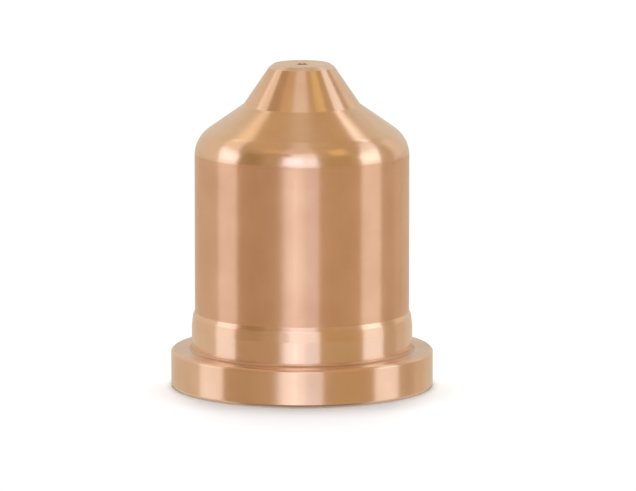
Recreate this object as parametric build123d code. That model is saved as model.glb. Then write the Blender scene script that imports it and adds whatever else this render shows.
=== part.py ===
from build123d import *
import math
import os

# Plasma torch nozzle, turned from one piece of copper bar.
#
# The nozzle is a body of revolution about Z. It stands on its flat rear face, at z = 0, with the exit
# orifice pointing up. Its outside is one turned outline and its inside is one bored outline, and both
# are written as (radius, height) corners that follow from the sizes below.
# Sizes are in millimetres. Angles are in degrees from the nozzle's axis.

OVERALL_LENGTH = 23.47

# Inside: the plenum bore that the electrode hangs in, its converging cone, and the swirl ring's seat
PLENUM_DIAMETER = 10.8
PLENUM_CORNER_RADIUS = 1.0
CONVERGING_ANGLE = 52.0
THROAT_DIAMETER = 2.6
LEAD_IN_ANGLE = 32.0
SEAT_STEP = 1.1
SEAT_DEPTH = 1.9
SEAT_LEAD_IN = 0.3

# Exit orifice, open at the tip
ORIFICE_DIAMETER = 0.95
ORIFICE_LENGTH = 3.0
ORIFICE_EXIT_BREAK = 0.06

# Barrel round the plenum bore, and the two cones of the nose
BARREL_WALL = 2.37
SHOULDER_ANGLE = 54.8
SHOULDER_RADIUS = 2.3
KNEE_DIAMETER = 8.45
NOSE_ANGLE = 34.2
TIP_FLAT_DIAMETER = 4.1
TIP_BEVEL_WIDTH = 0.33
TIP_BEVEL_ANGLE = 54.0

# Collar that centres the nozzle: a straight land, a slight lead-in taper, then a flare down to the barrel
COLLAR_LAND_LENGTH = 1.73
COLLAR_FOOT_RADIUS = 0.2
TAPER_LENGTH = 0.75
TAPER_STEP = 0.09
FLARE_LENGTH = 0.3
FLARE_STEP = 0.14

# Flange that the torch's cap clamps, standing out from the collar
FLANGE_WIDTH = 1.5
FLANGE_THICKNESS = 2.66
FLANGE_EDGE_BREAK = 0.15

# How far the bored outline runs past the metal at both ends, so that it cuts right through
OVERRUN = 1.0


def cone_height(width, angle):
    """Height over which a cone at this angle from the axis changes its radius by width."""
    return width / math.tan(math.radians(angle))


# Radii that follow from the sizes
orifice_radius = ORIFICE_DIAMETER / 2
throat_radius = THROAT_DIAMETER / 2
plenum_radius = PLENUM_DIAMETER / 2
seat_radius = plenum_radius + SEAT_STEP
barrel_radius = plenum_radius + BARREL_WALL
flare_radius = barrel_radius + FLARE_STEP
collar_radius = flare_radius + TAPER_STEP
flange_radius = collar_radius + FLANGE_WIDTH
knee_radius = KNEE_DIAMETER / 2
tip_radius = TIP_FLAT_DIAMETER / 2
bevel_radius = tip_radius + TIP_BEVEL_WIDTH

# Heights of the outside, from the flange up and from the tip down
collar_top = FLANGE_THICKNESS + COLLAR_LAND_LENGTH
taper_top = collar_top + TAPER_LENGTH
flare_top = taper_top + FLARE_LENGTH
bevel_foot = OVERALL_LENGTH - cone_height(TIP_BEVEL_WIDTH, TIP_BEVEL_ANGLE)
knee_height = bevel_foot - cone_height(knee_radius - bevel_radius, NOSE_ANGLE)
shoulder_height = knee_height - cone_height(barrel_radius - knee_radius, SHOULDER_ANGLE)

# Heights of the inside, from the tip down, so that the metal at the nose keeps its thickness
orifice_foot = OVERALL_LENGTH - ORIFICE_LENGTH
throat_height = orifice_foot - cone_height(throat_radius - orifice_radius, LEAD_IN_ANGLE)
plenum_top = throat_height - cone_height(plenum_radius - throat_radius, CONVERGING_ANGLE)


def turned(corners, rounds):
    """Solid of revolution about Z.

    corners are the (radius, height) corners of its half outline, and rounds maps those that are
    rounded to their radius.
    """
    with BuildPart() as solid:
        with BuildSketch(Plane.XZ) as outline:
            with BuildLine():
                Polyline(*corners, close=True)
            make_face()
            for (radius, height), rounding in rounds.items():
                nearest = outline.sketch_local.vertices().sort_by_distance((radius, height))[0]
                fillet(nearest, rounding)
        revolve(axis=Axis.Z)
    return solid.part


def outside():
    """The turned outside, from the rear face up to the tip flat."""
    flange_land = flange_radius - FLANGE_EDGE_BREAK
    collar_foot = (collar_radius, FLANGE_THICKNESS)
    shoulder = (barrel_radius, shoulder_height)
    return turned(
        [
            (0, 0),
            (flange_land, 0),
            (flange_radius, FLANGE_EDGE_BREAK),
            (flange_radius, FLANGE_THICKNESS - FLANGE_EDGE_BREAK),
            (flange_land, FLANGE_THICKNESS),
            collar_foot,
            (collar_radius, collar_top),
            (flare_radius, taper_top),
            (barrel_radius, flare_top),
            shoulder,
            (knee_radius, knee_height),
            (bevel_radius, bevel_foot),
            (tip_radius, OVERALL_LENGTH),
            (0, OVERALL_LENGTH),
        ],
        {
            collar_foot: COLLAR_FOOT_RADIUS,
            shoulder: SHOULDER_RADIUS,
        },
    )


def inside():
    """The bored inside, from behind the rear face out through the orifice."""
    plenum_corner = (plenum_radius, plenum_top)
    return turned(
        [
            (0, -OVERRUN),
            (seat_radius + SEAT_LEAD_IN + OVERRUN, -OVERRUN),
            (seat_radius, SEAT_LEAD_IN),
            (seat_radius, SEAT_DEPTH),
            (plenum_radius, SEAT_DEPTH),
            plenum_corner,
            (throat_radius, throat_height),
            (orifice_radius, orifice_foot),
            (orifice_radius, OVERALL_LENGTH - ORIFICE_EXIT_BREAK),
            (orifice_radius + ORIFICE_EXIT_BREAK + OVERRUN, OVERALL_LENGTH + OVERRUN),
            (0, OVERALL_LENGTH + OVERRUN),
        ],
        {plenum_corner: PLENUM_CORNER_RADIUS},
    )


nozzle = outside() - inside()

os.makedirs("parts", exist_ok=True)
export_step(nozzle, "parts/nozzle.step")
print(f"nozzle: {nozzle.volume:.1f} cubic mm, {len(nozzle.solids())} solid")
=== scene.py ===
"""Blender scene of a copper plasma torch nozzle, standing on its flange on a white table.

The nozzle is one turned piece. Its outside and its bore are one closed outline, spun round the axis, and
each stretch of the outline has the finish that its cut leaves. The nozzle's own sizes are in millimetres
until its mesh is made. The mesh, the studio and the camera are in metres, and angles are in degrees.
"""

import logging
import math
from dataclasses import dataclass, field
from enum import Enum

import bpy
import numpy as np
from mathutils import Matrix, Vector

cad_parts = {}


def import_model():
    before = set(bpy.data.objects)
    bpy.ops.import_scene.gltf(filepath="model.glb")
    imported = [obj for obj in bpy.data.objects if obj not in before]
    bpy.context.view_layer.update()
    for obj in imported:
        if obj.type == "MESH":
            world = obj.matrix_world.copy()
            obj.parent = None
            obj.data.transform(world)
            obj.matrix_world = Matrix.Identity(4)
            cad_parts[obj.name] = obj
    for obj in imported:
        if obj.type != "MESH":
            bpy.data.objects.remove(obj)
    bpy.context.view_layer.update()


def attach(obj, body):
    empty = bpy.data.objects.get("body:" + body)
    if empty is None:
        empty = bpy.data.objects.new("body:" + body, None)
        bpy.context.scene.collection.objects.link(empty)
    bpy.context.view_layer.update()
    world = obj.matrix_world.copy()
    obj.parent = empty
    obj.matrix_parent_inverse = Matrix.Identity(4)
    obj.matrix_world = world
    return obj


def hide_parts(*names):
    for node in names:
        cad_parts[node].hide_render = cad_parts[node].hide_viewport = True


log = logging.getLogger("nozzle")

MM = 0.001

# What a finish reads from the mesh: a point's way along the outline in metres, and 1 on a handled edge
ALONG = "along_outline"
EDGE = "handled_edge"

# A side of a card from its foot up: elevation, azimuth
Border = tuple[tuple[float, float], ...]
# A card from its foot up: elevation, azimuth of its left side, azimuth of its right side
Rows = tuple[tuple[float, float, float], ...]


def linear(hex_colour: str) -> tuple[float, float, float, float]:
    """Turns an sRGB colour into the linear one that shaders take.

    Args:
        hex_colour: Six hex digits, such as "C98F6B".

    Returns:
        Red, green, blue and an alpha of 1.
    """
    shares = [int(hex_colour[i : i + 2], 16) / 255 for i in (0, 2, 4)]
    red, green, blue = (s / 12.92 if s <= 0.04045 else ((s + 0.055) / 1.055) ** 2.4 for s in shares)
    return red, green, blue, 1.0


def add_node(
    tree: bpy.types.NodeTree, kind: str, settings: dict | None = None, inputs: dict | None = None
) -> bpy.types.Node:
    """Adds a node with its settings and links.

    Args:
        tree: The node tree of a material or of the world.
        kind: The node's type, without its ShaderNode.
        settings: The node's own properties.
        inputs: What each socket gets, by its name or number: an output to link it to, or a plain value.

    Returns:
        The new node.
    """
    node = tree.nodes.new("ShaderNode" + kind)
    for name, value in (settings or {}).items():
        setattr(node, name, value)
    for name, value in (inputs or {}).items():
        if isinstance(value, bpy.types.NodeSocket):
            tree.links.new(value, node.inputs[name])
        else:
            node.inputs[name].default_value = value
    return node


def empty_material(name: str) -> bpy.types.Material:
    """Makes a material with no nodes in it.

    Args:
        name: The material's name.

    Returns:
        The new material.
    """
    material = bpy.data.materials.new(name)
    material.use_nodes = True
    material.node_tree.nodes.clear()
    return material


def add_to_scene(name: str, data: bpy.types.ID) -> bpy.types.Object:
    """Makes an object and links it to the scene.

    Args:
        name: The object's name.
        data: Its mesh, lamp or camera.

    Returns:
        The new object.
    """
    thing = bpy.data.objects.new(name, data)
    bpy.context.scene.collection.objects.link(thing)
    return thing


def cone_height(width: float, angle: float) -> float:
    """Height over which a cone at this many degrees from the axis changes its radius by width."""
    return width / math.tan(math.radians(angle))


def direction(azimuth: float, elevation: float) -> Vector:
    """Unit vector this many degrees round to the camera's right, and this many above level."""
    turn, rise = math.radians(azimuth), math.radians(elevation)
    return Vector((math.sin(turn) * math.cos(rise), -math.cos(turn) * math.cos(rise), math.sin(rise)))


def over_the_top(over: float, side: float) -> Vector:
    """Unit vector this many degrees from the front's level over the top, then this many to the right."""
    up, right = math.radians(over), math.radians(side)
    return Vector((math.sin(right), -math.cos(up) * math.cos(right), math.sin(up) * math.cos(right)))


@dataclass(frozen=True)
class CopperFinish:
    """Bare tellurium copper as a lathe tool left it, in rings of fine feed marks, with no coating.

    Attributes:
        name: The material's name.
        colour: Clean copper head on.
        tarnish_and_shade: The thin oxide film that handling and warm air leave in soft clouds. On the
        collar's root and in the bore a darker, heavier film stands for painted shade.
        tarnish_and_shade_share: How much of the film there is at most, 0 to 1.
        polished: Roughness on the burnished crests of the feed marks.
        torn: Roughness where the tool tore the surface.
        torn_share: The share of the surface that is torn, 0 to 1.
        feed: Distance between feed marks, mm.
        mark_depth: Height of the feed marks, mm.
        stretch: How far the marks draw a highlight out across themselves, 0 to 1.
    """

    name: str
    colour: str
    tarnish_and_shade: str = "B0704A"
    tarnish_and_shade_share: float = 0.2
    polished: float = 0.17
    torn: float = 0.4
    torn_share: float = 0.1
    feed: float = 0.05
    mark_depth: float = 0.00005
    stretch: float = 0.2

    # Soft clouds of oxide are a few millimetres across on a part this small
    CLOUD_MM = 4.0
    # Values of the clouds' noise below which the copper is bare, and above which the film is at its most
    BARE_BELOW = 0.35
    FULL_ABOVE = 0.75
    # The share of the film that handling leaves on an edge
    FILM_ON_EDGE = 0.3
    # How far a feed mark shifts the torn share of the surface under it
    RING_SHARE = 0.4
    # A quarter turn from the tangent, so that highlights are drawn out across the rings
    ACROSS_THE_RINGS = 0.25
    # A Mix node's colour sockets, which share their names with its number sockets
    MIX_FACTOR, MIX_A, MIX_B, MIX_RESULT = 0, 6, 7, 2

    def material(self) -> bpy.types.Material:
        """Makes the finish's material.

        Returns:
            Copper with clouds in its colour, and ring marks in its roughness and in a very slight bump.
        """
        material = empty_material(self.name)
        tree = material.node_tree
        place = add_node(tree, "TexCoord").outputs["Object"]
        along = add_node(tree, "Attribute", {"attribute_name": ALONG}).outputs["Fac"]
        ring = add_node(
            tree,
            "TexNoise",
            {"noise_dimensions": "1D"},
            {"W": along, "Scale": 1 / (self.feed * MM), "Detail": 2.0, "Roughness": 0.6},
        ).outputs[0]
        bump = add_node(
            tree,
            "Bump",
            inputs={"Strength": 1.0, "Distance": self.mark_depth * MM, "Height": ring},
        )
        tangent = add_node(tree, "Tangent", {"direction_type": "RADIAL", "axis": "Z"})
        surface = add_node(
            tree,
            "BsdfPrincipled",
            inputs={
                "Base Color": self.clouded_colour(tree, place),
                "Metallic": 1.0,
                "Roughness": self.torn_roughness(tree, place, ring),
                "Anisotropic": self.stretch,
                "Anisotropic Rotation": self.ACROSS_THE_RINGS,
                "Tangent": tangent.outputs[0],
                "Normal": bump.outputs[0],
            },
        )
        add_node(tree, "OutputMaterial", inputs={"Surface": surface.outputs[0]})
        return material

    def clouded_colour(
        self, tree: bpy.types.NodeTree, place: bpy.types.NodeSocket
    ) -> bpy.types.NodeSocket:
        """Lays clouds of oxide film over the clean copper; on the root and in the bore also painted
        shade.

        Args:
            tree: The material's node tree.
            place: A point's place on the nozzle, m.

        Returns:
            The colour.
        """
        clouds = add_node(
            tree,
            "TexNoise",
            inputs={
                "Vector": place,
                "Scale": 1 / (self.CLOUD_MM * MM),
                "Detail": 3.0,
                "Roughness": 0.55,
            },
        )
        # On the collar's root and in the bore these clouds of darker film are painted shade as well
        film = add_node(
            tree,
            "MapRange",
            inputs={
                "Value": clouds.outputs[0],
                "From Min": self.BARE_BELOW,
                "From Max": self.FULL_ABOVE,
                "To Min": 0.0,
                "To Max": self.tarnish_and_shade_share,
            },
        )
        # Handling rubs the film off the edges
        edge = add_node(tree, "Attribute", {"attribute_name": EDGE})
        film_left = add_node(
            tree,
            "MapRange",
            inputs={"Value": edge.outputs["Fac"], "To Min": 1.0, "To Max": self.FILM_ON_EDGE},
        )
        worn_film_and_shade = add_node(
            tree,
            "Math",
            {"operation": "MULTIPLY"},
            {0: film.outputs[0], 1: film_left.outputs[0]},
        )
        colour = add_node(
            tree,
            "Mix",
            {"data_type": "RGBA"},
            {
                self.MIX_FACTOR: worn_film_and_shade.outputs[0],
                self.MIX_A: linear(self.colour),
                self.MIX_B: linear(self.tarnish_and_shade),
            },
        )
        return colour.outputs[self.MIX_RESULT]

    def torn_roughness(
        self, tree: bpy.types.NodeTree, place: bpy.types.NodeSocket, ring: bpy.types.NodeSocket
    ) -> bpy.types.NodeSocket:
        """Scatters torn specks over the burnished surface, more of them on some feed marks than others.

        Args:
            tree: The material's node tree.
            place: A point's place on the nozzle, m.
            ring: Height of the feed marks, 0 to 1.

        Returns:
            The roughness.
        """
        # The specks are finer than any picture shows, so they only widen the glow of a highlight
        specks = add_node(tree, "TexWhiteNoise", inputs={"Vector": place})
        marks = add_node(
            tree,
            "Math",
            {"operation": "MULTIPLY_ADD"},
            {0: ring, 1: self.RING_SHARE, 2: specks.outputs[0]},
        )
        threshold = 1 - self.torn_share + self.RING_SHARE / 2
        is_torn = add_node(
            tree,
            "Math",
            {"operation": "GREATER_THAN"},
            {0: marks.outputs[0], 1: threshold},
        )
        roughness = add_node(
            tree,
            "MapRange",
            inputs={"Value": is_torn.outputs[0], "To Min": self.polished, "To Max": self.torn},
        )
        return roughness.outputs[0]


class Cut(Enum):
    """The lathe's cut that a stretch of the outline comes from. Its value is the finish it leaves."""

    # Form-turned rim: cleanly cut, so it is bright with crisp bands
    RIM = CopperFinish("copper_turned_rim", "F9D2B6")
    # Faced flange: the tool travels inwards and tears more, which leaves a pale satin
    FACE = CopperFinish("copper_faced_flange", "F6DCCB", polished=0.36, torn=0.5, torn_share=0.3)
    # Root of the collar: left by the tool's nose radius, so it is dull. Its darker colour and heavy dark
    # film are painted shade in the crease where the collar meets the flange
    SHADED_ROOT = CopperFinish(
        "copper_root_painted_shade",
        "EAC8AC",
        tarnish_and_shade="98684A",
        tarnish_and_shade_share=0.4,
        polished=0.34,
        torn=0.55,
        torn_share=0.4,
    )
    # Burnished collar: sized with a polishing pass, the smoothest surface with the crispest bands
    COLLAR = CopperFinish(
        "copper_burnished_collar", "FBD6BD", polished=0.15, torn=0.3, tarnish_and_shade_share=0.1
    )
    # Lead-in taper: turned to a fine finish, nearly as smooth as the collar and a little warmer
    TAPER = CopperFinish("copper_turned_taper", "FBD4B8", polished=0.16, torn=0.3, tarnish_and_shade_share=0.1)
    # Fine-turned barrel: satin, with a wider glow round each highlight
    BARREL = CopperFinish(
        "copper_fine_turned_barrel", "EFC3A4", polished=0.18, torn=0.55, torn_share=0.34
    )
    # Turned nose: less torn than the barrel, so the bands are crisper
    NOSE = CopperFinish("copper_turned_nose", "F8D3B7", polished=0.17, torn=0.35)
    # Faced tip: an even, warm satin
    TIP = CopperFinish("copper_faced_tip", "FAD4AD", polished=0.24, torn=0.4)
    # Bevel round the tip: deburred with a fine stone, paler and softer than the turned metal
    BEVEL = CopperFinish("copper_stoned_bevel", "F9E2D5", polished=0.34, torn=0.55, tarnish_and_shade_share=0.1)
    # Bored inside: drilled and reamed, so it is duller. Its darker colour and extra film are
    # painted shade in the hole
    BORE = CopperFinish(
        "copper_bored_inside_painted_shade", "F0C8AC", polished=0.3, torn=0.5, torn_share=0.5, tarnish_and_shade_share=0.25
    )


@dataclass(frozen=True)
class Corner:
    """One corner of the turned outline.

    Attributes:
        radius: Distance from the axis, mm.
        height: Height over the table, mm.
        cut: The cut that makes the stretch from this corner to the next.
        rounding: Radius that the corner is rounded to, mm. A sharp tool leaves about 0.03.
        arc_cut: The cut that makes the rounding itself, where that isn't one of its neighbours'.
    """

    radius: float
    height: float
    cut: Cut
    rounding: float = 0.03
    arc_cut: Cut | None = None


@dataclass
class ClampFlange:
    """The flange that the torch's cap clamps, with broken edges. Its sizes are in mm."""

    radius: float = 9.5
    thickness: float = 2.66
    edge_break: float = 0.15
    edge_rounding: float = 0.1

    def corners(self) -> list[Corner]:
        """Works out the flange's part of the outline.

        Returns:
            Its corners, from the rear face up to the front face.
        """
        land = self.radius - self.edge_break
        return [
            Corner(land, 0.0, Cut.RIM),
            Corner(self.radius, self.edge_break, Cut.RIM),
            Corner(self.radius, self.thickness - self.edge_break, Cut.RIM, self.edge_rounding),
            Corner(land, self.thickness, Cut.FACE, self.edge_rounding),
        ]


@dataclass
class LocatingCollar:
    """The land that centres the nozzle in its cap, then a slight taper. Its sizes are in mm."""

    foot_height: float
    radius: float = 8.0
    foot_rounding: float = 0.2
    land_length: float = 1.73
    land_rounding: float = 0.3
    taper_length: float = 0.75
    taper_step: float = 0.09
    taper_rounding: float = 0.05

    def top(self) -> float:
        """Height of the top of the taper."""
        return self.foot_height + self.land_length + self.taper_length

    def corners(self) -> list[Corner]:
        """Works out the collar's part of the outline.

        Returns:
            Its corners, from the flange up to the top of the taper, where the flare starts.
        """
        land_top = self.foot_height + self.land_length
        return [
            # The foot's rounding takes the root's finish, whose darker colour is painted shade in the
            # crease
            Corner(self.radius, self.foot_height, Cut.COLLAR, self.foot_rounding, arc_cut=Cut.SHADED_ROOT),
            Corner(self.radius, land_top, Cut.TAPER, self.land_rounding),
            Corner(self.radius - self.taper_step, self.top(), Cut.NOSE, self.taper_rounding),
        ]


@dataclass
class Nose:
    """The two cones of the nose and the flat tip with its bevel. Its sizes are in mm."""

    overall_length: float = 23.47
    shoulder_angle: float = 54.8
    knee_radius: float = 4.225
    knee_rounding: float = 0.04
    nose_angle: float = 34.2
    tip_radius: float = 2.05
    tip_rounding: float = 0.06
    bevel_width: float = 0.33
    bevel_angle: float = 54.0
    bevel_rounding: float = 0.05

    def bevel_foot(self) -> float:
        """Height at which the steep cone meets the bevel."""
        return self.overall_length - cone_height(self.bevel_width, self.bevel_angle)

    def knee_height(self) -> float:
        """Height of the edge between the two cones."""
        bevel_radius = self.tip_radius + self.bevel_width
        return self.bevel_foot() - cone_height(self.knee_radius - bevel_radius, self.nose_angle)

    def shoulder_height(self, barrel_radius: float) -> float:
        """Height at which the wide cone would meet the barrel with no radius between them."""
        return self.knee_height() - cone_height(barrel_radius - self.knee_radius, self.shoulder_angle)

    def corners(self) -> list[Corner]:
        """Works out the nose's part of the outline.

        Returns:
            Its corners, from the edge between the cones to the tip's flat.
        """
        return [
            Corner(self.knee_radius, self.knee_height(), Cut.NOSE, self.knee_rounding),
            Corner(self.tip_radius + self.bevel_width, self.bevel_foot(), Cut.BEVEL, self.bevel_rounding),
            Corner(self.tip_radius, self.overall_length, Cut.TIP, self.tip_rounding),
        ]


@dataclass
class Barrel:
    """The flare over the collar, and the straight barrel up to the nose. Its sizes are in mm."""

    flare_foot: float
    nose: Nose
    radius: float = 7.77
    flare_length: float = 0.3
    flare_rounding: float = 0.05
    shoulder_rounding: float = 2.3

    def corners(self) -> list[Corner]:
        """Works out the barrel's part of the outline.

        Returns:
            Its corners, at the flare's top and where the nose's wide cone meets it.
        """
        flare_top = self.flare_foot + self.flare_length
        shoulder = self.nose.shoulder_height(self.radius)
        return [
            Corner(self.radius, flare_top, Cut.BARREL, self.flare_rounding),
            Corner(self.radius, shoulder, Cut.NOSE, self.shoulder_rounding),
        ]


@dataclass
class GasPassage:
    """The bored inside, from the orifice down to the swirl ring's seat. Its sizes are in mm."""

    overall_length: float
    orifice_radius: float = 0.475
    orifice_length: float = 3.0
    exit_break: float = 0.06
    exit_rounding: float = 0.02
    throat_radius: float = 1.3
    throat_rounding: float = 0.1
    lead_in_angle: float = 32.0
    converging_angle: float = 52.0
    plenum_radius: float = 5.4
    plenum_rounding: float = 1.0
    seat_step: float = 1.1
    seat_depth: float = 1.9
    seat_lead_in: float = 0.3

    def corners(self) -> list[Corner]:
        """Works out the bore's part of the outline.

        Returns:
            Its corners, from the orifice's mouth to the seat's mouth in the rear face.
        """
        tip = self.overall_length
        foot = tip - self.orifice_length
        throat = foot - cone_height(self.throat_radius - self.orifice_radius, self.lead_in_angle)
        top = throat - cone_height(self.plenum_radius - self.throat_radius, self.converging_angle)
        seat = self.plenum_radius + self.seat_step
        return [
            Corner(self.orifice_radius + self.exit_break, tip, Cut.TIP, self.exit_rounding),
            Corner(self.orifice_radius, tip - self.exit_break, Cut.BORE, self.exit_rounding),
            Corner(self.orifice_radius, foot, Cut.BORE),
            Corner(self.throat_radius, throat, Cut.BORE, self.throat_rounding),
            Corner(self.plenum_radius, top, Cut.BORE, self.plenum_rounding),
            Corner(self.plenum_radius, self.seat_depth, Cut.BORE),
            Corner(seat, self.seat_depth, Cut.BORE),
            Corner(seat, self.seat_lead_in, Cut.BORE),
            Corner(seat + self.seat_lead_in, 0.0, Cut.FACE),
        ]


@dataclass
class Ring:
    """One ring of points of the spun mesh.

    Attributes:
        radius: Distance from the axis, mm.
        height: Height over the table, mm.
        cut: The cut of the face from this ring to the next.
        edge: 1 on a handled edge, 0 elsewhere.
    """

    radius: float
    height: float
    cut: Cut
    edge: float


@dataclass
class Nozzle:
    """The whole nozzle: its parts' corners in one closed outline, rounded, spun and dressed.

    Attributes:
        flange: The flange that it stands on.
        nose: The two cones and the tip.
        segments: Number of faces round the axis.
        degrees_per_step: Turn of a rounding from one ring to the next, at most.
        guard: How close to a rounding a plain stretch has its first ring, mm. That ring keeps the
            rounding's shading from running over the plain surface.
        handled_rounding: Radius up to which a rounding is an edge that hands and cloths rub, mm.
    """

    flange: ClampFlange = field(default_factory=ClampFlange)
    nose: Nose = field(default_factory=Nose)
    segments: int = 288
    degrees_per_step: float = 5.0
    guard: float = 0.02
    handled_rounding: float = 0.12

    NODE = "nozzle"
    NAME = "nozzle_body"
    # The flat map that the finishes can be baked into
    BAKE_MAP = "OFBake"
    # A rounding takes up no more than this share of the stretch on either side of it
    LONGEST_REACH = 0.45
    # A rounding has at least this many faces along it
    FEWEST_STEPS = 3
    # A stretch shorter than this many guards gets no guard rings
    GUARDS_APART = 5

    def corners(self) -> list[Corner]:
        """Joins the parts' corners.

        Returns:
            The closed outline, from the rear face outside, up over the tip and down through the bore.
        """
        collar = LocatingCollar(self.flange.thickness)
        barrel = Barrel(collar.top(), self.nose)
        passage = GasPassage(self.nose.overall_length)
        parts = (self.flange, collar, barrel, self.nose, passage)
        return [corner for part in parts for corner in part.corners()]

    def rounded(self, before: Corner, corner: Corner, after: Corner) -> list[Ring]:
        """Rounds one corner with an arc.

        Args:
            before: The corner before it.
            corner: The corner to round.
            after: The corner after it.

        Returns:
            The rings of the arc, which touches both stretches.
        """
        here = Vector((corner.radius, corner.height))
        back = Vector((before.radius, before.height)) - here
        ahead = Vector((after.radius, after.height)) - here
        turn = math.pi - back.angle(ahead)
        reach = corner.rounding * math.tan(turn / 2)
        reach = min(reach, self.LONGEST_REACH * back.length, self.LONGEST_REACH * ahead.length)
        rounding = reach / math.tan(turn / 2)
        back.normalize()
        ahead.normalize()
        centre = here + (back + ahead).normalized() * (rounding / math.cos(turn / 2))
        start = here + back * reach - centre
        side = 1 if (-back).cross(ahead) > 0 else -1
        steps = max(self.FEWEST_STEPS, math.ceil(math.degrees(turn) / self.degrees_per_step))
        small = corner.rounding <= self.handled_rounding
        # The two tools share a small rounding, and the tool of the next stretch cuts a large one too
        changeover = steps / 2 if small else 1
        rings = []
        for step in range(steps + 1):
            spoke = start.copy()
            spoke.rotate(Matrix.Rotation(side * turn * step / steps, 2))
            point = centre + spoke
            neighbour = before if step < changeover else corner
            rings.append(Ring(point.x, point.y, corner.arc_cut or neighbour.cut, float(small)))
        return rings

    def rings(self) -> list[Ring]:
        """Rounds every corner, and adds a guard ring at both ends of each straight stretch.

        Returns:
            All rings in the outline's order.
        """
        corners = self.corners()
        count = len(corners)
        arcs = [self.rounded(corners[i - 1], corners[i], corners[(i + 1) % count]) for i in range(count)]
        rings = []
        for i, arc in enumerate(arcs):
            rings += arc
            start, end = arc[-1], arcs[(i + 1) % count][0]
            span = math.hypot(end.radius - start.radius, end.height - start.height)
            start.cut = corners[i].cut
            if span < self.GUARDS_APART * self.guard:
                continue
            for share in (self.guard / span, 1 - self.guard / span):
                radius = start.radius + (end.radius - start.radius) * share
                height = start.height + (end.height - start.height) * share
                rings.append(Ring(radius, height, start.cut, 0.0))
        return rings

    def build(self) -> bpy.types.Object:
        """Spins the rings into one closed mesh and dresses it.

        Returns:
            The nozzle's body.
        """
        rings = self.rings()
        radii = np.array([ring.radius for ring in rings]) * MM
        heights = np.array([ring.height for ring in rings]) * MM
        mesh = self.spun(radii, heights)

        cuts = list(Cut)
        for cut in cuts:
            mesh.materials.append(cut.value.material())
        slots = [cuts.index(ring.cut) for ring in rings]
        mesh.polygons.foreach_set("material_index", np.repeat(slots, self.segments))

        steps = np.hypot(np.diff(radii, append=radii[0]), np.diff(heights, append=heights[0]))
        along = np.concatenate([[0.0], np.cumsum(steps)])
        edges = np.array([ring.edge for ring in rings])
        for name, values in ((ALONG, along[:-1]), (EDGE, edges)):
            layer = mesh.attributes.new(name, "FLOAT", "POINT")
            layer.data.foreach_set("value", np.repeat(values, self.segments).astype(np.float32))
        self.lay_map(mesh, along / along[-1])
        mesh.validate()
        mesh.update()
        return add_to_scene(self.NAME, mesh)

    def spun(self, radii: np.ndarray, heights: np.ndarray) -> bpy.types.Mesh:
        """Spins the outline round the axis.

        Args:
            radii: Each ring's distance from the axis, m.
            heights: Each ring's height, m.

        Returns:
            A smooth mesh, with the faces from each ring to the next in the rings' order.
        """
        around = self.segments
        turns = np.linspace(0, 2 * np.pi, around, endpoint=False)
        points = np.stack(
            [
                np.outer(radii, np.cos(turns)),
                np.outer(radii, np.sin(turns)),
                np.outer(heights, np.ones(around)),
            ],
            axis=-1,
        ).reshape(-1, 3)
        lower = np.arange(len(radii))[:, None] * around
        upper = np.roll(lower, -1)
        here = np.arange(around)[None, :]
        there = np.roll(here, -1)
        faces = np.stack(
            [lower + here, lower + there, upper + there, upper + here],
            axis=-1,
        ).reshape(-1, 4)
        mesh = bpy.data.meshes.new(self.NAME)
        mesh.from_pydata(points.tolist(), [], faces.tolist())
        mesh.polygons.foreach_set("use_smooth", np.ones(len(faces), dtype=bool))
        return mesh

    def lay_map(self, mesh: bpy.types.Mesh, shares: np.ndarray) -> None:
        """Lays the mesh out flat: round the axis along u, along the outline along v.

        Args:
            mesh: The spun mesh.
            shares: How far along the outline each ring is, 0 to 1, with the last one back at the first.
        """
        count, around = len(shares) - 1, self.segments
        low = np.repeat(shares[:-1], around)
        high = np.repeat(shares[1:], around)
        left = np.tile(np.arange(around) / around, count)
        right = left + 1 / around
        corners = np.stack([left, low, right, low, right, high, left, high], axis=-1)
        layer = mesh.uv_layers.new(name=self.BAKE_MAP)
        layer.uv.foreach_set("vector", corners.ravel().astype(np.float32))


class SeenBy(Enum):
    """Which rays a thing in the studio is there for."""

    CAMERA_AND_FLOOR = "camera and floor"
    METAL = "metal"


def show_to(thing: bpy.types.Object, viewer: SeenBy) -> None:
    """Sets which rays see a thing in the studio.

    Args:
        thing: The table's paper or a card.
        viewer: What it is there for.
    """
    metal = viewer is SeenBy.METAL
    thing.visible_camera = not metal
    thing.visible_diffuse = not metal
    thing.visible_glossy = metal
    thing.visible_transmission = metal
    thing.visible_volume_scatter = False
    thing.visible_shadow = not metal


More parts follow.
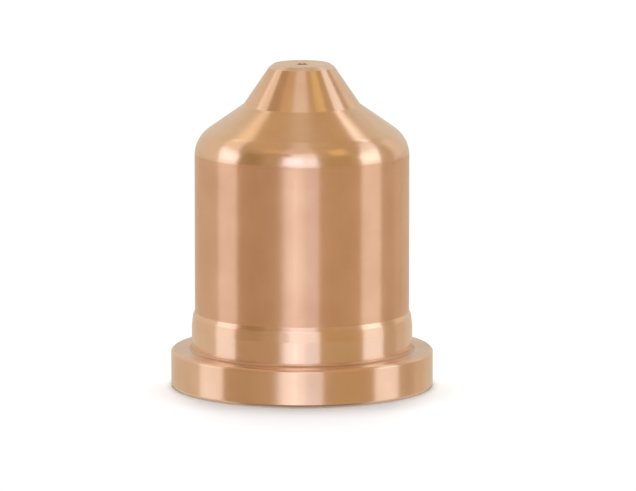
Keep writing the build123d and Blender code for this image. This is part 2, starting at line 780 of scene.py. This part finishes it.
@dataclass
class Table:
    """White paper on a table.

    It is left out of the metal's reflections, because the photographed copper shows its dark and bright
    bands right down to its foot, and no white paper in front of them.

    Attributes:
        radius: From the nozzle to the paper's edge, m.
        sides: Number of points round its edge.
        colour: The paper's colour.
        over_white: How much brighter the camera alone sees it. The photographed paper is a little over
            white, which hides the shadow's faint edge.
        clearance: How far it lies under the nozzle, m, so that it doesn't show through the rear face.
    """

    radius: float = 2.0
    sides: int = 64
    colour: str = "FFFFFF"
    over_white: float = 0.025
    clearance: float = 0.00002

    def build(self) -> bpy.types.Object:
        """Lays the paper under the nozzle.

        Returns:
            The paper, which the metal doesn't mirror.
        """
        turns = np.linspace(0, 2 * np.pi, self.sides, endpoint=False)
        height = np.full(self.sides, -self.clearance)
        points = np.stack([np.cos(turns) * self.radius, np.sin(turns) * self.radius, height], axis=-1)
        mesh = bpy.data.meshes.new("paper")
        mesh.from_pydata(points.tolist(), [], [list(range(self.sides))])
        mesh.materials.append(self.material())
        paper = add_to_scene("paper", mesh)
        show_to(paper, SeenBy.CAMERA_AND_FLOOR)
        return paper

    def material(self) -> bpy.types.Material:
        """Makes uncoated paper, which is matt, and slightly over white to the camera.

        Returns:
            The paper's material.
        """
        material = empty_material("white_paper")
        tree = material.node_tree
        matt = add_node(tree, "BsdfDiffuse", inputs={"Color": linear(self.colour)})
        ray = add_node(tree, "LightPath")
        lift = add_node(
            tree,
            "MapRange",
            inputs={"Value": ray.outputs["Is Camera Ray"], "To Min": 0.0, "To Max": self.over_white},
        )
        glow = add_node(tree, "Emission", inputs={"Color": (1, 1, 1, 1), "Strength": lift.outputs[0]})
        surface = add_node(tree, "AddShader", inputs={0: matt.outputs[0], 1: glow.outputs[0]})
        add_node(tree, "OutputMaterial", inputs={"Surface": surface.outputs[0]})
        material.cycles.emission_sampling = "NONE"
        return material


class Lay(Enum):
    """How a card's rows run round the nozzle."""

    UPRIGHT = "upright"
    OVER_THE_TOP = "over the top"


@dataclass(frozen=True)
class Card:
    """A sheet that stands round the nozzle for the metal to mirror.

    Attributes:
        name: What it is.
        colour: How it looks in the studio's light.
        rows: Its shape. A card that lies over the top has degrees from the front's level over the top in
            place of elevations, and degrees to the side in place of azimuths.
        lay: Which of the two.
        side_fade: Degrees over which it fades out at its sides. With 0 it ends at once.
        left_fade: The same at its left side alone, where that differs.
        foot_fade: Degrees over which it fades out at its foot.
        top_fade: Degrees over which it fades out at its top.
        level: How bright it is. 1 is as bright as its colour says.
    """

    name: str
    colour: str
    rows: Rows
    lay: Lay = Lay.UPRIGHT
    side_fade: float = 2.0
    left_fade: float | None = None
    foot_fade: float = 2.0
    top_fade: float = 2.0
    level: float = 1.0

    COVER = "cover"
    # Degrees from one point of its mesh to the next, at most
    STEP = 1.0

    def place(self, row: float, column: float, distance: float) -> Vector:
        """Where a point of the card is, given in the card's own degrees and in metres away."""
        towards = direction(column, row) if self.lay is Lay.UPRIGHT else over_the_top(row, column)
        return towards * distance

    def cover(self, row: float, column: float, left: float, right: float) -> float:
        """Works out how far a point of the card is covered, which its faded sides lessen.

        Args:
            row: The point's row, degrees.
            column: The point's place in the row, degrees.
            left: Where the row starts, degrees.
            right: Where the row ends, degrees.

        Returns:
            From 0, clear, to 1, covered.
        """
        reaches = (
            (column - left, self.side_fade if self.left_fade is None else self.left_fade),
            (right - column, self.side_fade),
            (row - self.rows[0][0], self.foot_fade),
            (self.rows[-1][0] - row, self.top_fade),
        )
        return min([1.0] + [reach / fade for reach, fade in reaches if fade])

    def build(self, distance: float) -> bpy.types.Object:
        """Makes the sheet and its faded sides.

        Args:
            distance: How far from the nozzle it stands, m.

        Returns:
            The card, which only the metal sees.
        """
        shape = np.array(self.rows)
        low, high = shape[0, 0], shape[-1, 0]
        rows = np.linspace(low, high, math.ceil((high - low) / self.STEP) + 1)
        lefts = np.interp(rows, shape[:, 0], shape[:, 1])
        rights = np.interp(rows, shape[:, 0], shape[:, 2])
        columns = math.ceil((rights - lefts).max() / self.STEP) + 1
        points, covers = [], []
        for row, left, right in zip(rows, lefts, rights):
            for column in np.linspace(left, right, columns):
                points.append(tuple(self.place(row, column, distance)))
                covers.append(self.cover(row, column, left, right))
        faces = [
            (r * columns + c, r * columns + c + 1, (r + 1) * columns + c + 1, (r + 1) * columns + c)
            for r in range(len(rows) - 1)
            for c in range(columns - 1)
        ]
        mesh = bpy.data.meshes.new(self.name)
        mesh.from_pydata(points, [], faces)
        layer = mesh.attributes.new(self.COVER, "FLOAT", "POINT")
        layer.data.foreach_set("value", covers)
        mesh.materials.append(self.material())
        card = add_to_scene(self.name, mesh)
        show_to(card, SeenBy.METAL)
        return card

    def material(self) -> bpy.types.Material:
        """Makes a card that glows with painted light, at the brightness that plain matt card has in the
        studio's light.

        Returns:
            The card's material, which is clear where the card has faded out.
        """
        material = empty_material(self.name)
        tree = material.node_tree
        cover = add_node(tree, "Attribute", {"attribute_name": self.COVER})
        faded = add_node(
            tree,
            "MapRange",
            {"interpolation_type": "SMOOTHSTEP"},
            {"Value": cover.outputs["Fac"]},
        )
        glow = add_node(tree, "Emission", inputs={"Color": linear(self.colour), "Strength": self.level})
        clear = add_node(tree, "BsdfTransparent")
        surface = add_node(
            tree,
            "MixShader",
            inputs={0: faded.outputs[0], 1: clear.outputs[0], 2: glow.outputs[0]},
        )
        add_node(tree, "OutputMaterial", inputs={"Surface": surface.outputs[0]})
        material.cycles.emission_sampling = "NONE"
        return material


@dataclass(frozen=True)
class Tube:
    """A lamp over the nozzle, for the table alone.

    Attributes:
        name: What it is.
        over: Its place, degrees from the front's level over the top.
        side: Its place, degrees to the right.
        share: Its part of the light that makes white paper white.
    """

    name: str
    over: float
    side: float
    share: float

    # Degrees across, seen from the table, which gives the shadow its soft edge
    WIDTH = 12.0
    # Strength at which a lamp straight above makes white paper white by itself
    WHITE = math.pi

    def build(self) -> bpy.types.Object:
        """Hangs the lamp.

        Returns:
            The lamp, which the metal doesn't mirror.
        """
        towards = over_the_top(self.over, self.side)
        lamp = bpy.data.lights.new(self.name, "SUN")
        lamp.angle = math.radians(self.WIDTH)
        lamp.energy = self.share * self.WHITE / towards.z
        tube = add_to_scene(self.name, lamp)
        tube.rotation_euler = towards.to_track_quat("Z", "Y").to_euler()
        tube.visible_glossy = False
        return tube


@dataclass
class Studio:
    """A white room with brown cards between three openings, and tubes over the nozzle.

    The room is all white, and the metal sees it in the openings between the cards. Above table height a
    softbox stands in each opening, brighter than the room. The tubes hang a little behind the nozzle, so
    that its shadow reaches forwards and hardly to the sides.

    Each surface mirrors another height, so the cards are stacked. In the middle of the front, the rim,
    collar and barrel mirror what stands 9 degrees below level, the taper 5 above, the flare 41 and the
    steep cone 59. The wide cone and the bevel mirror what is about 10 degrees behind the zenith, and the
    large radius all that lies between the barrel's and that. The flat faces mirror what stands behind the
    nozzle, 9 above. The cards' places and colours are chosen so that the copper shows the photographed
    bands.

    Attributes:
        room_share: The room's part of the light that makes white paper white. The rest is the tubes'.
        tubes: The lamps.
    """

    room_share: float = 0.2
    tubes: tuple[Tube, ...] = (
        Tube("tube_left", 96.0, -8.0, 0.12),
        Tube("tube_right", 96.0, 8.0, 0.12),
        Tube("tube_back_left", 102.0, -8.0, 0.16),
        Tube("tube_back_right", 102.0, 8.0, 0.16),
        Tube("tube_back", 108.0, 0.0, 0.14),
        Tube("tube_far_back", 120.0, 0.0, 0.1),
    )

    # How far the first card stands from the nozzle, and how much nearer each next one does, m
    FARTHEST = 1.5
    CARD_SPACING = 0.03

    # Elevations between which the walls of card stand, and up to which the panels do
    FOOT = -60
    TOP = 60
    PANEL_TOP = 3
    # Degrees over which the front opening's left side goes from dark to bright
    SOFT_SIDE = 12.5

    # Sides of the three openings. The middle of the front one is where its two halves meet.
    FRONT_LEFT = ((FOOT, -26.5), (5, -26.5), (45, -27), (TOP, -28))
    FRONT_MIDDLE = ((FOOT, 3), (TOP, 3))
    FRONT_RIGHT = ((FOOT, 17), (45, 17.5), (TOP, 19))
    RIGHT_FRONT = (
        (FOOT, 68.5), (5, 67.5), (25, 68.5), (35, 75.5), (45, 86), (50, 97), (55, 108), (TOP, 135),
    )
    RIGHT_BACK = (
        (FOOT, 93), (5, 93), (15, 94.5), (25, 98), (35, 105.5), (45, 121), (TOP, 142),
    )
    LEFT_FRONT = (
        (FOOT, -75.5), (5, -74.5), (15, -74), (25, -76), (35, -84.5), (45, -94), (55, -112), (TOP, -135),
    )
    LEFT_BACK = (
        (FOOT, -99), (8, -101), (15, -103), (25, -108), (35, -116), (45, -136), (TOP, -144),
    )
    # The front opening's left side is soft: the dark card runs on to here, behind what fades out over it
    UNDER_FRONT_LEFT = ((FOOT, -12), (45, -13), (52, -19), (TOP, -22))
    # Where the side cards end, and the card behind the nozzle begins
    FAR_RIGHT = ((FOOT, 130), (TOP, 150))
    FAR_LEFT = ((FOOT, -150), (TOP, -152))
    BEHIND_RIGHT = ((FOOT, 126), (TOP, 146))
    BEHIND_LEFT = ((FOOT, 212), (TOP, 212))

    @staticmethod
    def all_round(low: float, high: float) -> Rows:
        """Rows of a card that goes all round the nozzle, from its foot's elevation to its top's."""
        return (low, -180, 180), (high, -180, 180)

    @staticmethod
    def between(left: Border, right: Border, low: float = FOOT, high: float = TOP) -> Rows:
        """Works out the rows of a card between two sides.

        Args:
            left: Its left side.
            right: Its right side.
            low: Elevation of its foot.
            high: Elevation of its top.

        Returns:
            The card's rows.
        """
        heights = sorted({low, high} | {h for h, _ in left + right if low < h < high})
        lefts, rights = (
            np.interp(heights, [h for h, _ in side], [a for _, a in side]) for side in (left, right)
        )
        return tuple((h, float(a), float(b)) for h, a, b in zip(heights, lefts, rights))

    def walls(self) -> list[Card]:
        """Chooses the brown cards round and over the nozzle, which show as the copper's dark bands.

        Returns:
            The cards, the far ones first.
        """
        return [
            Card("card_overhead", "C5AD86", self.all_round(50, 90), side_fade=0, foot_fade=8),
            Card("card_zenith", "C6B292", self.all_round(70, 90), side_fade=0, foot_fade=6),
            Card("shade_below", "8A8A8A", self.all_round(-90, -58), side_fade=0, foot_fade=0),
            Card(
                "card_front_left", "B8A17F",
                self.between(self.LEFT_FRONT, self.UNDER_FRONT_LEFT),
                top_fade=8,
            ),
            Card(
                "card_front_right", "BEA881",
                self.between(self.FRONT_RIGHT, self.RIGHT_FRONT),
                top_fade=8,
            ),
            Card("card_left", "D4CAB7", self.between(self.FAR_LEFT, self.LEFT_BACK), top_fade=8),
            Card(
                "card_left_top", "DDD4C4",
                self.between(self.FAR_LEFT, self.LEFT_BACK, -4, 44),
                foot_fade=8, top_fade=16,
            ),
            Card("card_right", "C1B095", self.between(self.RIGHT_BACK, self.FAR_RIGHT), top_fade=8),
            Card(
                "card_right_far", "D2C4AC",
                ((self.FOOT, 112, 144), (4, 112, 144)),
                side_fade=8, top_fade=8,
            ),
            Card(
                "card_right_top", "E6DED0",
                ((-4, 112, 148), (25, 114, 154), (44, 124, 158)),
                side_fade=10, foot_fade=8, top_fade=14,
            ),
            Card("card_back", "D6CEBC", self.between(self.BEHIND_RIGHT, self.BEHIND_LEFT), top_fade=12),
            Card(
                "card_back_top", "DAD7CC",
                self.between(self.BEHIND_RIGHT, self.BEHIND_LEFT, -4, 40),
                foot_fade=8, top_fade=18,
            ),
            Card("card_right_low", "B9A076", ((0, 18, 58), (36, 18, 58)), foot_fade=6, top_fade=8),
            Card(
                "card_dark", "A0885F",
                ((0, -78, -40), (46, -80, -42)),
                side_fade=10, foot_fade=8, top_fade=12,
            ),
            Card(
                "card_orange", "E7D195",
                ((36, 37, 62), (62, 37, 74)),
                side_fade=6, foot_fade=8, top_fade=6,
            ),
            Card(
                "card_left_high", "D2B88F",
                ((46, -66, -26), (66, -66, -26)),
                side_fade=10, foot_fade=7, top_fade=6,
            ),
            Card(
                "card_over_the_top", "E4D8C8",
                ((50, -24, 16), (70, -15, 12), (80, -10, 9), (104, -9, 8)),
                lay=Lay.OVER_THE_TOP, side_fade=8, foot_fade=6, top_fade=8,
            ),
        ]

    def panels(self) -> list[Card]:
        """Chooses the panels up to table height, which the barrel, the collar and the rim mirror.

        Returns:
            The panels, the far ones first.
        """
        return [
            Card(
                "paper_behind", "E0D9CD",
                ((self.FOOT, 178, 190), (self.PANEL_TOP, 178, 190)),
                side_fade=4,
            ),
            Card(
                "panel_front_left", "F2F4FC",
                self.between(self.FRONT_LEFT, self.FRONT_MIDDLE, high=self.PANEL_TOP),
                left_fade=self.SOFT_SIDE, level=1.22,
            ),
            Card(
                "panel_front_right", "F1F1FA",
                self.between(self.FRONT_MIDDLE, self.FRONT_RIGHT, high=self.PANEL_TOP),
            ),
            Card(
                "strip_front", "FFFFFF",
                ((self.FOOT, -10, -4), (self.PANEL_TOP, -10, -4)),
                side_fade=2.5, level=1.4,
            ),
        ]

    def softboxes(self) -> list[Card]:
        """Chooses the lamps' fronts above table height. Most are brighter than white, as lamps are.

        Returns:
            The softboxes, screens and strips, the far ones first.
        """
        return [
            Card(
                "softbox_front_left", "E6E7FF",
                self.between(self.FRONT_LEFT, self.FRONT_MIDDLE, 0, 47),
                left_fade=self.SOFT_SIDE, foot_fade=16, top_fade=17, level=1.93,
            ),
            Card(
                "softbox_front_right", "E2EAFF",
                self.between(self.FRONT_MIDDLE, self.FRONT_RIGHT, 0, 45),
                foot_fade=16, top_fade=17, level=1.5,
            ),
            Card(
                "softbox_left", "FFF8FF",
                self.between(self.LEFT_BACK, self.LEFT_FRONT, 0, 40),
                foot_fade=14, top_fade=16, level=1.47,
            ),
            Card(
                "screen_left", "F4EAD6",
                self.between(self.LEFT_BACK, self.LEFT_FRONT, 32),
                foot_fade=10, top_fade=4,
            ),
            Card(
                "softbox_right", "F9FFFF",
                self.between(self.RIGHT_FRONT, self.RIGHT_BACK, 0, 42),
                foot_fade=14, top_fade=16, level=1.5,
            ),
            Card(
                "strip_right", "FFFFFF",
                ((44, 122, 142), (58, 130, 143)),
                side_fade=4, foot_fade=8, top_fade=4, level=1.6,
            ),
            Card(
                "strip_left", "FFEFD0",
                ((42, -142, -122), (60, -143, -130)),
                side_fade=4, foot_fade=8, top_fade=8, level=1.2,
            ),
        ]

    def light_room(self) -> None:
        """Makes the white room. It lights the table at its share, and shows at full white."""
        world = bpy.data.worlds.new("white_room")
        world.use_nodes = True
        tree = world.node_tree
        tree.nodes.clear()
        ray = add_node(tree, "LightPath")
        looked_at = add_node(
            tree,
            "Math",
            {"operation": "MAXIMUM"},
            {0: ray.outputs["Is Camera Ray"], 1: ray.outputs["Is Glossy Ray"]},
        )
        seen = add_node(
            tree,
            "Math",
            {"operation": "MAXIMUM"},
            {0: looked_at.outputs[0], 1: ray.outputs["Is Transmission Ray"]},
        )
        strength = add_node(
            tree,
            "MapRange",
            inputs={"Value": seen.outputs[0], "To Min": self.room_share, "To Max": 1.0},
        )
        glow = add_node(
            tree,
            "Background",
            inputs={"Color": (1, 1, 1, 1), "Strength": strength.outputs[0]},
        )
        add_node(tree, "OutputWorld", inputs={"Surface": glow.outputs[0]})
        world.cycles.sampling_method = "NONE"
        bpy.context.scene.world = world

    def build(self) -> None:
        """Sets up the table, the cards and the light."""
        log.info("%s", Table().build().name)
        for number, card in enumerate(self.walls() + self.panels() + self.softboxes()):
            log.info("%s", card.build(self.FARTHEST - number * self.CARD_SPACING).name)
        self.light_room()
        for tube in self.tubes:
            log.info("%s", tube.build().name)


@dataclass
class PhotoCamera:
    """The photograph's camera, which looks a little down on the nozzle through a long lens.

    Attributes:
        elevation: Degrees above level.
        distance: From the camera to the point of the axis that it looks at, m.
        looked_at: Height of that point, m.
        lens: Focal length, mm.
        sensor: Width of the sensor, mm.
        aim_right: How far right of that point it aims, m. The nozzle stands left of the picture's middle.
        aim_down: How far below that point it aims, m. The nozzle stands above the picture's middle.
    """

    elevation: float = 8.97
    distance: float = 0.533
    looked_at: float = 0.0118
    lens: float = 416.5
    sensor: float = 36.0
    aim_right: float = 0.00116
    aim_down: float = 0.0016

    # Between these distances from the camera things show, m
    NEAREST = 0.01
    FARTHEST = 10.0

    def build(self) -> bpy.types.Object:
        """Sets up the camera, aims it and makes it the scene's own.

        Returns:
            The camera.
        """
        lens = bpy.data.cameras.new("photo_camera")
        lens.lens = self.lens
        lens.sensor_width = self.sensor
        lens.clip_start = self.NEAREST
        lens.clip_end = self.FARTHEST
        camera = add_to_scene("photo_camera", lens)
        towards = direction(0, self.elevation)
        middle = Vector((0, 0, self.looked_at))
        camera.location = middle + towards * self.distance
        up = direction(180, 90 - self.elevation)
        target = middle + Vector((self.aim_right, 0, 0)) - up * self.aim_down
        camera.rotation_euler = (camera.location - target).to_track_quat("Z", "Y").to_euler()
        bpy.context.scene.camera = camera
        return camera


def main() -> None:
    """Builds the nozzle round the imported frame, and the studio round the nozzle."""
    logging.basicConfig(level=logging.INFO, format="%(name)s: %(message)s")
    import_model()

    nozzle = Nozzle()
    body = nozzle.build()
    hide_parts(nozzle.NODE)
    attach(body, "root")
    log.info("%s: %d faces", body.name, len(body.data.polygons))

    Studio().build()
    PhotoCamera().build()
    bpy.context.scene.view_settings.view_transform = "Standard"


if __name__ == "__main__":
    main()
